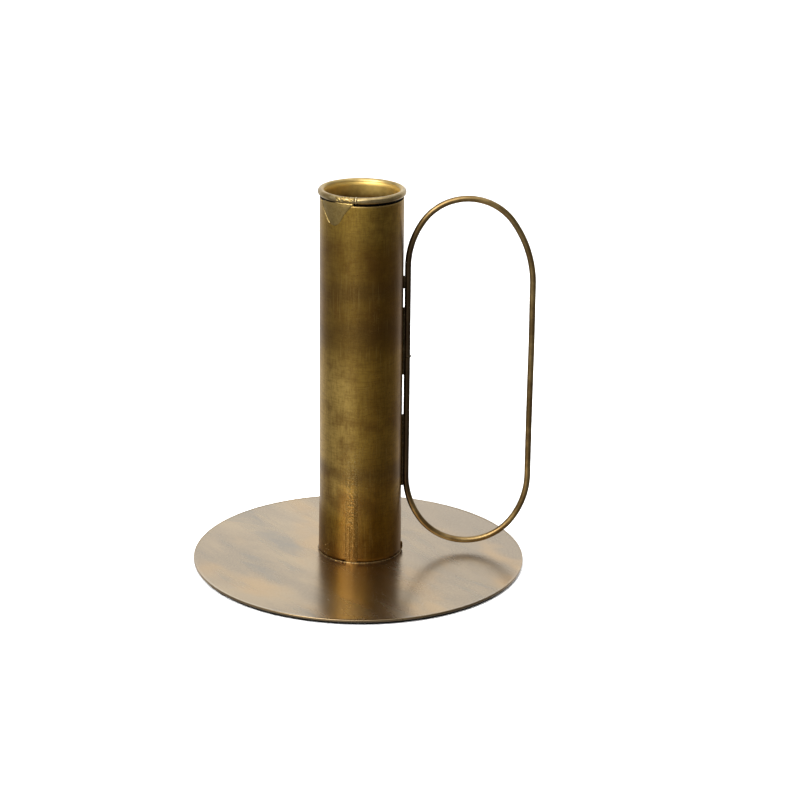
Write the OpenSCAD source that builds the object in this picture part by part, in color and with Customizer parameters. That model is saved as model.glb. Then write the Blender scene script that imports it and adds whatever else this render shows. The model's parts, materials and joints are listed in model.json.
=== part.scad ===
// Brass chamberstick. A plain tube stands on a flat disc foot and holds a drop-in candle cup with a
// curled rim. An oval finger loop of wire is soldered along the tube's side.
// Millimetres. Z is the tube's axis and z = 0 is the table. The finger loop is on the +X side and the
// front is -Y. A "turn" is an angle round the tube, measured to the left from the front.

/* [Candle cup] */
// Bore of the cup, for a standard 22 mm taper candle
cup_bore_d = 23; // [22.6:0.1:23.4]
// Wall of the cup's sleeve
cup_wall = 0.5; // [0.4:0.1:0.8]
// Depth of the socket, from the middle of the curled bead to the floor
cup_depth = 28; // [20:1:40]
// Thickness of the disc that closes the cup
cup_floor_t = 0.6; // [0.4:0.1:1.5]
// Thickness of the bead curled round the cup's mouth
curl_d = 2.1; // [1.8:0.1:2.4]
// Dark gap between the bead and the lip of the tube
curl_gap = 0.7; // [0.4:0.05:0.8]
// Turn of the butt joint in the bead
curl_joint_turn = 8; // [0:1:12]
// Width of the butt joint in the bead
curl_joint_w = 0.4; // [0.2:0.1:0.8]

/* [Stem tube] */
// Wall of the rolled tube
tube_wall = 1; // [0.6:0.1:1.5]
// Height of the tube's lip above the table
tube_top_z = 117.15; // [105:0.05:140]
// Turn of the brazed seam
seam_turn = 12; // [0:1:40]
// Width of the seam
seam_w = 0.6; // [0.4:0.1:1]
// Height up to which the seam's braze stands proud of the tube
seam_ridge_z = 37; // [20:1:60]
// How far the braze stands proud of the tube
seam_proud = 0.3; // [0.2:0.05:0.5]

/* [Foot] */
// Diameter of the brass disc
plate_d = 104.4; // [90:0.2:120]
// Thickness of the brass disc
plate_t = 0.8; // [0.6:0.1:1.5]
// Bevel on the disc's edges
plate_bevel = 0.15; // [0.1:0.05:0.25]
// How far the tube stands behind the middle of the disc
tube_back = 5; // [0:0.5:8]
// How far the tube stands to the right of the middle of the disc
tube_right = 0.5; // [0:0.1:2]
// Thickness of the felt under the disc
felt_t = 1; // [0.8:0.1:2]
// How far the felt stops short of the disc's edge
felt_inset = 0.75; // [0.5:0.05:2]

/* [Finger loop] */
// Diameter of the wire
wire_d = 2; // [1.6:0.1:2.4]
// Height of the loop over its wire
loop_h = 114; // [95:0.1:114.4]
// Width of the loop, over its wire
loop_w = 40.7; // [40:0.1:42]
// Radius of the middle of the top bend
top_crown_r = 17; // [16:0.5:18]
// Radius of the middle of the bottom bend
low_crown_r = 18; // [16:0.5:18.5]
// Radius of the softer shoulder on the tube's side of each bend
shoulder_r = 25; // [20:1:28]
// Angle that each shoulder turns through
shoulder_sweep = 35; // [30:1:40]
// Clearance between the loop and the foot
loop_lift = 2; // [1.5:0.1:3]
// Clearance between the wire and the tube
loop_gap = 0.3; // [0.2:0.05:0.6]
// Height of the butt joint in the wire
butt_z = 66.2; // [62:0.1:78]
// Width of the butt joint in the wire
butt_w = 0.3; // [0.2:0.1:0.6]

/* [Solder] */
// Bottom and top of the solder near the loop's top bend
solder_top_span = [88.1, 92.2]; // [86:0.1:94]
// Bottom and top of the solder in the middle of the loop
solder_mid_span = [59.9, 82.3]; // [50:0.1:85]
// Bottom and top of the solder near the loop's bottom bend
solder_low_span = [23, 47.2]; // [20:0.1:49]
// Half width of the solder between wire and tube
solder_r = 0.85; // [0.7:0.05:0.95]
// Thickness of the solder that ran down the tube from the rim
run_t = 0.25; // [0.2:0.05:0.4]
// How far that solder ran down
run_drop = 6.5; // [4:0.5:10]
// Size of the fillet round the foot of the tube
foot_fillet = 0.5; // [0.3:0.1:1]

/* [Hidden] */
$fn = 96;

cup_in_r = cup_bore_d / 2;
cup_out_r = cup_in_r + cup_wall;
tube_r = cup_out_r + tube_wall;
plate_r = plate_d / 2;
plate_top_z = felt_t + plate_t;
curl_r = curl_d / 2;
curl_x = cup_in_r + curl_r;
curl_z = tube_top_z + curl_gap + curl_r;
cup_floor_z = curl_z - cup_depth;

// The loop's centre line. Each bend is a crown between two shoulders, and the right-hand shoulder's
// radius is what the loop's width leaves for it.
wire_r = wire_d / 2;
loop_x = tube_r + loop_gap + wire_r;
loop_right_x = loop_x + loop_w - wire_d;
loop_top_z = plate_top_z + loop_lift + loop_h - wire_r;
loop_low_z = plate_top_z + loop_lift + wire_r;
function far_shoulder_r(crown_r) =
    (loop_w - wire_d - shoulder_r * (1 - cos(shoulder_sweep)) - 2 * crown_r * cos(shoulder_sweep))
    / (1 - cos(shoulder_sweep));
// How far a shoulder's centre lies beyond the crown's, towards the other bend
function shoulder_drop(r, crown_r) = (r - crown_r) * sin(shoulder_sweep);
// Height at which a bend of one crown ends on the loop's left and right sides, below its peak
function left_end(crown_r) = crown_r + shoulder_drop(shoulder_r, crown_r);
function right_end(crown_r) = crown_r + shoulder_drop(far_shoulder_r(crown_r), crown_r);
left_low_z = loop_low_z + left_end(low_crown_r);
left_top_z = loop_top_z - left_end(top_crown_r);

brass = "#8b6f36";
bright_brass = "#c9a04a";
wire_brass = "#b08f52";
solder_grey = "#8d8468";
felt = "#17120e";

// Puts a piece made at the front (-Y) at a turn to the left
module at_turn(turn) rotate([0, 0, -turn]) children();

// Sweeps a half section round the tube's axis, from one turn to a larger one
module swept(from_turn, to_turn)
    at_turn(90 + to_turn) rotate_extrude(angle = to_turn - from_turn) children();

// A ring between two radii and two heights
module ring(r_in, r_out, z_low, z_high)
    translate([0, 0, z_low]) difference() {
        cylinder(r = r_out, h = z_high - z_low);
        translate([0, 0, -1]) cylinder(r = r_in, h = z_high - z_low + 2);
    }

// An upright slot cut through the front, from one radius outwards
module front_slot(w, r_from, z_low, z_high)
    translate([-w / 2, -r_from - 5, z_low]) cube([w, 5, z_high - z_low]);

module curl_section(extra = 0) translate([curl_x, curl_z]) circle(r = curl_r + extra);

module foot_place() translate([-tube_right, -tube_back, 0]) children();

module base_felt_pad()
    color(felt) foot_place() cylinder(r = plate_r - felt_inset, h = felt_t, $fn = 180);

module base_plate()
    color(brass) foot_place() translate([0, 0, felt_t]) rotate_extrude($fn = 180)
        polygon([[0, 0], [plate_r - plate_bevel, 0], [plate_r, plate_bevel],
                 [plate_r, plate_t - plate_bevel], [plate_r - plate_bevel, plate_t], [0, plate_t]]);

module seam_slot()
    at_turn(seam_turn) front_slot(seam_w, cup_out_r - 1, plate_top_z - 1, tube_top_z + 1);

module stem_tube()
    color(brass) difference() {
        ring(cup_out_r, tube_r, plate_top_z, tube_top_z);
        seam_slot();
    }

// Braze that fills the seam flush, and stands proud as a rough ridge near the foot
module stem_seam_braze()
    color(solder_grey) {
        ridge_r = 0.8;
        lump_pitch = 5.5;
        ridge_low_z = plate_top_z + foot_fillet;
        union() {
            intersection() {
                ring(cup_out_r, tube_r, plate_top_z, tube_top_z);
                seam_slot();
            }
            difference() {
                at_turn(seam_turn) translate([0, ridge_r - tube_r - seam_proud, ridge_low_z]) {
                    cylinder(r = ridge_r, h = seam_ridge_z - ridge_low_z);
                    for (z = [lump_pitch : lump_pitch : seam_ridge_z - ridge_low_z - lump_pitch])
                        translate([0, 0, z]) sphere(r = ridge_r + 0.12);
                }
                cylinder(r = tube_r, h = tube_top_z);
            }
        }
    }

// Fillet round the tube's foot, with the spatter left beside it: [turn, radius on the foot, size]
module foot_braze()
    color(solder_grey) {
        spatter = [[28, 13.6, 0.5], [47, 13.8, 0.6], [71, 13.5, 0.5], [-88, 13.7, 0.7]];
        union() {
            rotate_extrude()
                polygon([[tube_r, plate_top_z], [tube_r + foot_fillet, plate_top_z],
                         [tube_r, plate_top_z + foot_fillet]]);
            difference() {
                for (s = spatter)
                    at_turn(s[0]) translate([0, -s[1], plate_top_z]) sphere(r = s[2]);
                translate([0, 0, -1]) cylinder(r = plate_r, h = plate_top_z + 1);
                cylinder(r = tube_r, h = tube_top_z);
            }
        }
    }

module curl_joint_slot()
    at_turn(curl_joint_turn) front_slot(curl_joint_w, cup_out_r + 0.1, tube_top_z, curl_z + curl_d);

// Sleeve and curled bead, drawn from one sheet
module candle_cup()
    color(bright_brass) difference() {
        union() {
            ring(cup_in_r, cup_out_r, cup_floor_z, curl_z);
            rotate_extrude() curl_section();
        }
        curl_joint_slot();
    }

// Disc that closes the cup, soldered under the sleeve
module cup_floor_disc()
    color(bright_brass) translate([0, 0, cup_floor_z - cup_floor_t])
        cylinder(r = cup_out_r, h = cup_floor_t);

module rim_joint_braze()
    color(solder_grey) intersection() {
        rotate_extrude() curl_section(0.1);
        curl_joint_slot();
    }

// Solder that bridges the gap under the bead, clings to the bead and ran down the tube in a tongue
module rim_solder_run()
    color(solder_grey) {
        run_turn = 41;
        run_r = tube_r + run_t;
        union() {
            swept(16, 42) difference() {
                translate([cup_out_r, tube_top_z]) square([run_r - cup_out_r, curl_gap + curl_r / 2]);
                curl_section();
            }
            swept(13, 32) intersection() {
                difference() {
                    translate([curl_x + 0.1, curl_z - 0.2]) circle(r = curl_r + 0.2);
                    curl_section();
                }
                translate([curl_x + 0.3, tube_top_z]) square([2 * curl_r, curl_gap + curl_r + 0.7]);
            }
            intersection() {
                ring(tube_r, run_r, tube_top_z - run_drop - 1, tube_top_z + 0.2);
                at_turn(run_turn) rotate([90, 0, 0]) linear_extrude(height = tube_r + 2)
                    translate([0, tube_top_z]) polygon([[-6.3, 1], [-4.4, -run_drop / 2],
                        [-1.3, 0.2 - run_drop], [1.3, -run_drop], [3.4, -run_drop / 2],
                        [5.8, -0.6], [5.8, 1]]);
            }
        }
    }

// A straight stretch of the wire between two points [x, z]
module wire_run(from, to) {
    step = to - from;
    translate([from[0], 0, from[1]]) rotate([0, atan2(step[0], step[1]), 0])
        cylinder(r = wire_r, h = norm(step));
}

// A bend of the wire in the XZ plane, from one angle above the X axis to a larger one
module wire_bend(centre, r, from, to)
    translate([centre[0], 0, centre[1]]) rotate([90, 0, 0]) rotate([0, 0, from])
        rotate_extrude(angle = to - from) translate([r, 0]) circle(r = wire_r);

// A ball a touch fatter than the wire, which fuses two stretches of it
module wire_ball(place) translate([place[0], 0, place[1]]) sphere(r = wire_r + 0.02);

// The loop's top bend: a crown and two shoulders. Its peak is at height 0, and its left side at x = 0.
module loop_bend(crown_r) {
    far_r = far_shoulder_r(crown_r);
    width = loop_w - wire_d;
    shoulder = [shoulder_r, -left_end(crown_r)];
    far_shoulder = [width - far_r, -right_end(crown_r)];
    crown = shoulder + (shoulder_r - crown_r) * [-cos(shoulder_sweep), sin(shoulder_sweep)];
    wire_bend(shoulder, shoulder_r, 180 - shoulder_sweep, 180);
    wire_bend(crown, crown_r, shoulder_sweep, 180 - shoulder_sweep);
    wire_bend(far_shoulder, far_r, 0, shoulder_sweep);
    for (side = [-1, 1])
        wire_ball(crown + crown_r * [side * cos(shoulder_sweep), sin(shoulder_sweep)]);
    wire_ball([0, shoulder[1]]);
    wire_ball([width, far_shoulder[1]]);
}

// Both bends and the right-hand side
module loop_bends() {
    translate([loop_x, 0, loop_top_z]) loop_bend(top_crown_r);
    translate([loop_x, 0, loop_low_z]) mirror([0, 0, 1]) loop_bend(low_crown_r);
    wire_run([loop_right_x, loop_low_z + right_end(low_crown_r)],
             [loop_right_x, loop_top_z - right_end(top_crown_r)]);
}

// A stretch of the loop's left side between two heights
module left_side(from, to) wire_run([loop_x, from], [loop_x, to]);

module finger_loop()
    color(wire_brass) union() {
        loop_bends();
        left_side(left_low_z, butt_z - butt_w / 2);
        left_side(butt_z + butt_w / 2, left_top_z);
    }

// Fill of the wire's butt joint, with a small flash on the loop's inner side
module loop_butt_solder()
    color(solder_grey) union() {
        left_side(butt_z - butt_w / 2, butt_z + butt_w / 2);
        difference() {
            translate([loop_x + 0.5, 0, butt_z]) sphere(r = 0.7);
            left_side(left_low_z, left_top_z);
        }
    }

// Solder along the gap between the wire and the tube, with rounded ends. It is thin, so its facets
// are fine.
module side_solder(span) {
    $fn = 240;
    color(solder_grey) difference() {
        translate([tube_r + loop_gap, 0, 0]) {
            translate([0, 0, span[0] + solder_r])
                cylinder(r = solder_r, h = span[1] - span[0] - 2 * solder_r);
            for (z = [span[0] + solder_r, span[1] - solder_r])
                translate([0, 0, z]) sphere(r = solder_r);
        }
        cylinder(r = tube_r, h = tube_top_z);
        left_side(span[0] - 1, span[1] + 1);
    }
}

module loop_solder_top() side_solder(solder_top_span);
module loop_solder_middle() side_solder(solder_mid_span);
module loop_solder_bottom() side_solder(solder_low_span);

base_felt_pad();
base_plate();
stem_tube();
stem_seam_braze();
foot_braze();
candle_cup();
cup_floor_disc();
rim_joint_braze();
rim_solder_run();
finger_loop();
loop_butt_solder();
loop_solder_top();
loop_solder_middle();
loop_solder_bottom();
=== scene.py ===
"""Looks of the brass chamberstick: finished meshes, patina materials, studio light and camera.

Lengths are in millimetres in the making of the meshes, and become metres in piece(). The tube's axis
is Z, the front is -Y and the finger loop is on the +X side. A "turn" is an angle round the tube in
degrees, measured to the left from the front, as in the CAD model.
"""

import json
import math

import bmesh
import bpy
from mathutils import Matrix, Vector, noise


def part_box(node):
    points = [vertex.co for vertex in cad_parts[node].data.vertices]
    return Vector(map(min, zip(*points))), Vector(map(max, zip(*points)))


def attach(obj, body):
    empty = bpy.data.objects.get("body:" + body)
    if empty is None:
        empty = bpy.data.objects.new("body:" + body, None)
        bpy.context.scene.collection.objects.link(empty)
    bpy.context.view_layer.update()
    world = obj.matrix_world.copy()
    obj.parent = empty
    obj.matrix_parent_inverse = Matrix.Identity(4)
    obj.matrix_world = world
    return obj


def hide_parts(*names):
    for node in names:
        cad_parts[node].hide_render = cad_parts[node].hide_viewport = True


MM = 0.001

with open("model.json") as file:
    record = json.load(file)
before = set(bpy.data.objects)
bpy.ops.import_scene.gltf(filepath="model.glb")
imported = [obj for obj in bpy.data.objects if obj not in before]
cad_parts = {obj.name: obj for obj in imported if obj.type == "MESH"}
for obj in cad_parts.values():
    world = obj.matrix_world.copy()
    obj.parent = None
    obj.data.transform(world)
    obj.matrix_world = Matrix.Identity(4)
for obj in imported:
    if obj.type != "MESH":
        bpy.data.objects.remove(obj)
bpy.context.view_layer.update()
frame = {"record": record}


# ---------------------------------------------------------------- sizes, from the CAD model


def span(node, axis):
    """Lowest and highest coordinate of a CAD node along an axis (0, 1 or 2), in millimetres."""
    low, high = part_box(node)
    return low[axis] / MM, high[axis] / MM


FELT_BOTTOM, FELT_TOP = span("base_felt_pad", 2)
PLATE_TOP = span("base_plate", 2)[1]
PLATE_R = (span("base_plate", 0)[1] - span("base_plate", 0)[0]) / 2
FELT_R = (span("base_felt_pad", 0)[1] - span("base_felt_pad", 0)[0]) / 2
PLATE_CENTRE = (sum(span("base_plate", 0)) / 2, sum(span("base_plate", 1)) / 2)
TUBE_R = span("stem_tube", 0)[1]
TUBE_TOP = span("stem_tube", 2)[1]
CUP_IN_R = frame["record"]["mounts"][0]["dims"]["r_mm"]
CUP_OUT_R = span("cup_floor_disc", 0)[1]
CUP_FLOOR_LOW, CUP_FLOOR = span("cup_floor_disc", 2)
CUP_TOP = span("candle_cup", 2)[1]
CURL_OUT_R = span("candle_cup", 0)[1]
CURL_R = (CURL_OUT_R - CUP_IN_R) / 2
CURL_X = CUP_IN_R + CURL_R
CURL_Z = CUP_TOP - CURL_R

# The CAD loop has a ball at each joint of its wire, which stands out of it by this much
BALL_PROUD = 0.02
WIRE_R = span("finger_loop", 1)[1] - BALL_PROUD
LOOP_LEFT, LOOP_RIGHT = span("finger_loop", 0)
LOOP_LOW, LOOP_HIGH = span("finger_loop", 2)
LOOP_X = LOOP_LEFT + BALL_PROUD + WIRE_R
LOOP_W = LOOP_RIGHT - LOOP_LEFT - 2 * (BALL_PROUD + WIRE_R)
BUTT_Z = sum(span("loop_butt_solder", 2)) / 2

# The rest is set to the same numbers as in the CAD model: the radii of the loop's bends, the turn of
# a shoulder (degrees), the gap in the wire, and where the seam and the bead's joint are
TOP_CROWN_R, LOW_CROWN_R = 17, 18
SHOULDER_R, SHOULDER_SWEEP = 25, 35
BUTT_GAP = 0.3
SEAM_TURN = 12
SEAM_RIDGE_TOP = 37
SEAM_X = -TUBE_R * math.sin(math.radians(SEAM_TURN))
CURL_JOINT_TURN = 8

# The tube was soldered on by hand: all that stands on the disc leans to the left by this slope
LEAN = 0.0035

# Height of a bar's domed end, in radii
DOME = 0.6


# ---------------------------------------------------------------- mesh helpers


def place_smooth(name, mesh):
    """A smooth-shaded object with a mesh."""
    mesh.polygons.foreach_set("use_smooth", [True] * len(mesh.polygons))
    obj = bpy.data.objects.new(name, mesh)
    bpy.context.scene.collection.objects.link(obj)
    return obj


def piece(name, verts, faces):
    """A smooth-shaded object from points in millimetres."""
    mesh = bpy.data.meshes.new(name)
    mesh.from_pydata([(x * MM, y * MM, z * MM) for x, y, z in verts], [], faces)
    mesh.update()
    return place_smooth(name, mesh)


def wobble(x, y, z, size, seed=0.0):
    """Smooth noise from about -1 to 1, whose bumps are about that many millimetres across."""
    return noise.noise(Vector((x / size + seed, y / size - seed, z / size + 2 * seed)))


def round_point(turn, r, z):
    """A point at a turn, radius and height."""
    a = math.radians(turn)
    return (-r * math.sin(a), -r * math.cos(a), z)


def grid_faces(rows, columns, close_rows=False, close_columns=False, first=0):
    """Quads between the points of a grid, stored row by row."""
    faces = []
    for i in range(rows if close_rows else rows - 1):
        for j in range(columns if close_columns else columns - 1):
            a, b = i * columns, (i + 1) % rows * columns
            k = (j + 1) % columns
            faces.append((first + a + j, first + a + k, first + b + k, first + b + j))
    return faces


def fan(pole, first, count, flip):
    """Triangles between a pole and a closed ring of points."""
    pairs = [(first + k, first + (k + 1) % count) for k in range(count)]
    return [(pole, b, a) if flip else (pole, a, b) for a, b in pairs]


def lathe(name, outline, centre=(0, 0), segments=240, shape=None):
    """Turns an outline of (radius, height) round an upright axis. An outline that starts and ends on
    the axis makes a closed disc, and any other is closed on itself. shape moves each point."""
    disc = outline[0][0] == 0 and outline[-1][0] == 0
    inner = outline[1:-1] if disc else outline
    verts = []
    for r, z in inner:
        for s in range(segments):
            a = 2 * math.pi * s / segments
            p = (r * math.cos(a), r * math.sin(a), z)
            x, y, z1 = shape(*p) if shape else p
            verts.append((centre[0] + x, centre[1] + y, z1))
    faces = grid_faces(len(inner), segments, close_rows=not disc, close_columns=True)
    if disc:
        last = len(verts) - segments
        for end, first, flip in ((outline[0], 0, True), (outline[-1], last, False)):
            x, y, z = shape(0, 0, end[1]) if shape else (0, 0, end[1])
            verts.append((centre[0] + x, centre[1] + y, z))
            faces += fan(len(verts) - 1, first, segments, flip)
    return piece(name, verts, faces)


def arc(x, z, r, start, stop, steps):
    """Points on a circular arc of an outline, between two angles in degrees."""
    return [
        (x + r * math.cos(math.radians(a)), z + r * math.sin(math.radians(a)))
        for a in (start + (stop - start) * i / steps for i in range(steps + 1))
    ]


def straight(start, stop, steps):
    """Points along a straight stretch of an outline, without its two ends."""
    return [
        tuple(a + (b - a) * i / steps for a, b in zip(start, stop, strict=True))
        for i in range(1, steps)
    ]


def dome(ring, outward, radius, count):
    """The rings of a bar's domed end, beyond its end ring, and the dome's tip."""
    p, u, v, t, _ = ring
    rings = []
    for k in range(1, count):
        a = math.pi / 2 * k / count
        rings.append((p + outward * math.sin(a) * radius * DOME, u, v, t, math.cos(a)))
    return rings, p + outward * radius * DOME


def swept(name, path, radius, sides=24, rounded_ends=4):
    """A round bar along a path of points, with domed ends. radius(t, angle) gives its radius, where t
    goes from 0 to 1 along it. A ring has its middle, two axes, its t and how much it shrinks."""
    last = len(path) - 1
    points = [Vector(p) for p in path]
    tangents = [
        (points[min(i + 1, last)] - points[max(i - 1, 0)]).normalized()
        for i in range(last + 1)
    ]
    side = tangents[0].orthogonal().normalized()
    rings = []
    for i, (p, t) in enumerate(zip(points, tangents, strict=True)):
        side = (side - side.dot(t) * t).normalized()
        rings.append((p, side, t.cross(side), i / last, 1.0))
    start, start_tip = dome(rings[0], -tangents[0], radius(0, 0), rounded_ends)
    stop, stop_tip = dome(rings[-1], tangents[-1], radius(1, 0), rounded_ends)
    rings = start[::-1] + rings + stop
    verts = []
    for p, u, v, t, shrink in rings:
        for k in range(sides):
            a = 2 * math.pi * k / sides
            r = radius(t, a) * shrink
            verts.append(tuple(p + (u * math.cos(a) + v * math.sin(a)) * r))
    faces = grid_faces(len(rings), sides, close_columns=True)
    for tip, first, flip in ((start_tip, 0, True), (stop_tip, (len(rings) - 1) * sides, False)):
        verts.append(tuple(tip))
        faces += fan(len(verts) - 1, first, sides, flip)
    return piece(name, verts, faces)


def pat(name, outline, thickness, sink=0.15, rings=14, grain=0.0):
    """A thin pat of solder on the tube. outline is a closed line of (turn, height) points that can all
    be seen from its middle. The pat thins to nothing at its edge, and sinks into the tube by sink."""
    n = len(outline)
    mid = [sum(p[i] for p in outline) / n for i in (0, 1)]
    verts, faces = [], []
    for side in (1, 0):
        first = len(verts)
        for k in range(rings + 1):
            f = k / rings
            for turn, z in outline:
                t, h = mid[0] + (turn - mid[0]) * f, mid[1] + (z - mid[1]) * f
                depth = thickness * (1 - f**4) ** 0.5
                x, y, _ = round_point(t, TUBE_R, h)
                depth *= 1 + grain * wobble(x, y, h, 1.1)
                verts.append(round_point(t, TUBE_R + (depth if side else -sink), h))
        quads = grid_faces(rings + 1, n, close_columns=True, first=first)
        faces += quads if side else [tuple(reversed(q)) for q in quads]
    low = len(verts) // 2
    for j in range(n):
        a, b = rings * n + j, rings * n + (j + 1) % n
        faces.append((a, b, low + b, low + a))
    return piece(name, verts, faces)


def join(name, parts):
    """One object from several."""
    bm = bmesh.new()
    for part in parts:
        bm.from_mesh(part.data)
        bpy.data.objects.remove(part)
    mesh = bpy.data.meshes.new(name)
    bm.to_mesh(mesh)
    bm.free()
    return place_smooth(name, mesh)


def melt(obj, voxel, relax=3, grain=0.0, grain_size=0.5, keep=None):
    """Fuses an object's overlapping solids into one lumpy skin, as solder sets. grain is how far its
    grains stand out, and keep holds each point where it belongs, such as outside the bore."""
    remesh = obj.modifiers.new("remesh", "REMESH")
    remesh.mode = "VOXEL"
    remesh.voxel_size = voxel * MM
    smooth = obj.modifiers.new("smooth", "SMOOTH")
    smooth.iterations = relax
    bpy.context.view_layer.update()
    mesh = bpy.data.meshes.new_from_object(
        obj.evaluated_get(bpy.context.evaluated_depsgraph_get())
    )
    obj.modifiers.clear()
    obj.data = mesh
    places = []
    for v in mesh.vertices:
        x, y, z = v.co / MM
        rough = wobble(x, y, z, grain_size) + 0.5 * wobble(x, y, z, grain_size / 2.3)
        x, y, z = v.co / MM + v.normal * grain * rough
        places += keep(x, y, z) if keep else (x, y, z)
    mesh.vertices.foreach_set("co", [c * MM for c in places])
    mesh.polygons.foreach_set("use_smooth", [True] * len(mesh.polygons))
    mesh.update()
    return obj


# ---------------------------------------------------------------- the pieces


def felt_pad():
    """Black felt under the disc, whose cut edge is a little ragged."""
    edge, border = 0.25, 3

    def ragged(x, y, z):
        r = math.hypot(x, y)
        if r < FELT_R - border:
            return x, y, z
        pull = 1 - (0.12 + 0.12 * wobble(x, y, z, 2.5) + 0.06 * wobble(x, y, z, 0.7)) / r
        return x * pull, y * pull, z

    low, high, r = FELT_BOTTOM, FELT_TOP - 0.005, FELT_R
    outline = (
        [(0, low), (r * 0.5, low), (r - border, low)]
        + arc(r - edge, low + edge, edge, -90, 0, 4)
        + straight((r, low + edge), (r, high - edge), 4)
        + arc(r - edge, high - edge, edge, 0, 90, 4)
        + [(r - border, high), (r * 0.5, high), (0, high)]
    )
    return lathe("felt_pad", outline, PLATE_CENTRE, 480, ragged)


def foot_disc():
    """Thin brass disc, hand-flattened, so its top has shallow waves, with burnished edges."""
    low, high, r, edge = FELT_TOP, PLATE_TOP, PLATE_R, 0.22

    def waves(x, y, z):
        if z < high - 0.01:
            return x, y, z
        dip = 0.045 * (1 + wobble(x, y, 0, 34, 3.1)) + 0.008 * (1 + wobble(x, y, 0, 9, 7.7))
        return x, y, z - dip

    rings = 60
    top = [(r - edge - (r - edge) * i / rings, high) for i in range(1, rings + 1)]
    outline = (
        [(0, low), (r * 0.5, low)]
        + arc(r - edge, low + edge, edge, -90, 0, 5)
        + arc(r - edge, high - edge, edge, 0, 90, 5)
        + top
    )
    return lathe("foot_disc", outline, PLATE_CENTRE, 360, waves)


def tube_skin(x, y, z):
    """Slight out-of-round of the rolled tube, which spreads a touch at its foot, most to the left.
    Points inside the tube stay where they are."""
    skin, flare_height = 0.3, 17
    r = math.hypot(x, y)
    if r < TUBE_R - skin:
        return x, y, z
    spread = 0.22 * max(0.0, 1 - (z - PLATE_TOP) / flare_height) ** 0.7
    to_left = max(0.0, -x / r)
    push = spread * (0.35 + 0.65 * to_left) - 0.02 * (1 + wobble(x, y, z, 16))
    return x * (1 + push / r), y * (1 + push / r), z


def stem():
    """The rolled brass tube with softly rounded lips."""
    lip = 0.2
    low, high, out, inn = PLATE_TOP, TUBE_TOP, TUBE_R, CUP_OUT_R
    outline = (
        [(inn, low), (out, low)]
        + straight((out, low), (out, high - lip), 70)
        + arc(out - lip, high - lip, lip, 0, 90, 5)
        + arc(inn + lip, high - lip, lip, 90, 180, 5)
        + straight((inn, high - lip), (inn, low), 12)
    )
    return lathe("stem", outline, shape=tube_skin)


def braze_height(across, f, z, fade):
    """How far the seam's braze stands out of the tube: a grainy crown that a crack splits. f is the
    place across it, from -1 to 1, and fade goes to 0 above the ridge, where the braze is hidden."""
    drift = 0.3 * wobble(5, 0, z, 7)
    crown = (1 - f * f) ** 1.3
    rough = wobble(across, 3, z, 0.9) + wobble(across, 9, z, 0.5)
    crack = math.exp(-(((across + 0.35 - drift) / 0.16) ** 2))
    crack *= max(0.0, 0.6 + wobble(1, 1, z, 2.6))
    lip = math.exp(-(((across - 0.75 - drift) / 0.3) ** 2)) * (0.5 + 0.5 * wobble(2, 2, z, 5))
    hidden = -0.12
    proud = fade * (crown * (0.08 + 0.035 * rough + 0.05 * lip) - 0.2 * crack)
    return max(proud + hidden * (1 - fade), hidden)


def seam():
    """Braze along the tube's seam: a low grainy ridge with a crack in it, which sinks into the tube
    above the ridge, where the seam was filed flush."""
    rows, columns = 460, 33
    ridge_rows = rows - 20
    half_width, root = 1.9, -0.35
    low, ridge_end, high = PLATE_TOP, SEAM_RIDGE_TOP + 8, TUBE_TOP - 2
    verts, faces = [], []
    for outer in (True, False):
        first = len(verts)
        for i in range(rows):
            z = low + (ridge_end - low) * min(i, ridge_rows) / ridge_rows
            if i > ridge_rows:
                z += (high - z) * (i - ridge_rows) / (rows - 1 - ridge_rows)
            fade = 1 / (1 + math.exp((z - SEAM_RIDGE_TOP) / 1.8))
            width = half_width * (0.75 + 0.25 * fade) * (1 + 0.2 * wobble(0, 0, z, 3))
            for j in range(columns):
                f = 2 * j / (columns - 1) - 1
                across = f * width
                proud = braze_height(across, f, z, fade) if outer else root
                turn = SEAM_TURN - math.degrees(across / TUBE_R)
                x, y, _ = tube_skin(*round_point(turn, TUBE_R, z))
                verts.append(round_point(turn, math.hypot(x, y) + proud, z))
        quads = grid_faces(rows, columns, first=first)
        faces += quads if outer else [tuple(reversed(q)) for q in quads]
    back = rows * columns
    rim = (
        list(range(columns))
        + [i * columns + columns - 1 for i in range(1, rows)]
        + [(rows - 1) * columns + j for j in range(columns - 2, -1, -1)]
        + [i * columns for i in range(rows - 2, 0, -1)]
    )
    for a, b in zip(rim, rim[1:] + rim[:1], strict=True):
        faces.append((b, a, back + a, back + b))
    return piece("seam", verts, faces)


def spatter(count):
    """Grains of braze that stuck to the left of the tube, at its foot and a little way up it."""
    grains = []
    for i in range(count):
        turn = 6 + 84 * (0.5 + 0.85 * noise.noise((i * 3.7, 1.3, 0.5)))
        size = 0.09 + 0.15 * abs(noise.noise((i * 5.3, 4.4, 9.9)))
        climb = 11 * max(0.0, noise.noise((i * 2.1, 0.4, 5.5))) if turn > 45 else 0.0
        away = 0.0 if climb else 0.5 * abs(noise.noise((i * 1.9, 7.1, 2.2)))
        z = PLATE_TOP + 0.05 + climb
        x, y, _ = tube_skin(*round_point(turn, TUBE_R, z))
        r = math.hypot(x, y) + 0.02 + away
        p, q = round_point(turn, r, z), round_point(turn + 1.2, r, z + 0.05)
        grains.append(swept("grain", [p, q], lambda t, a, s=size: s, sides=8, rounded_ends=3))
    return grains


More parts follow.
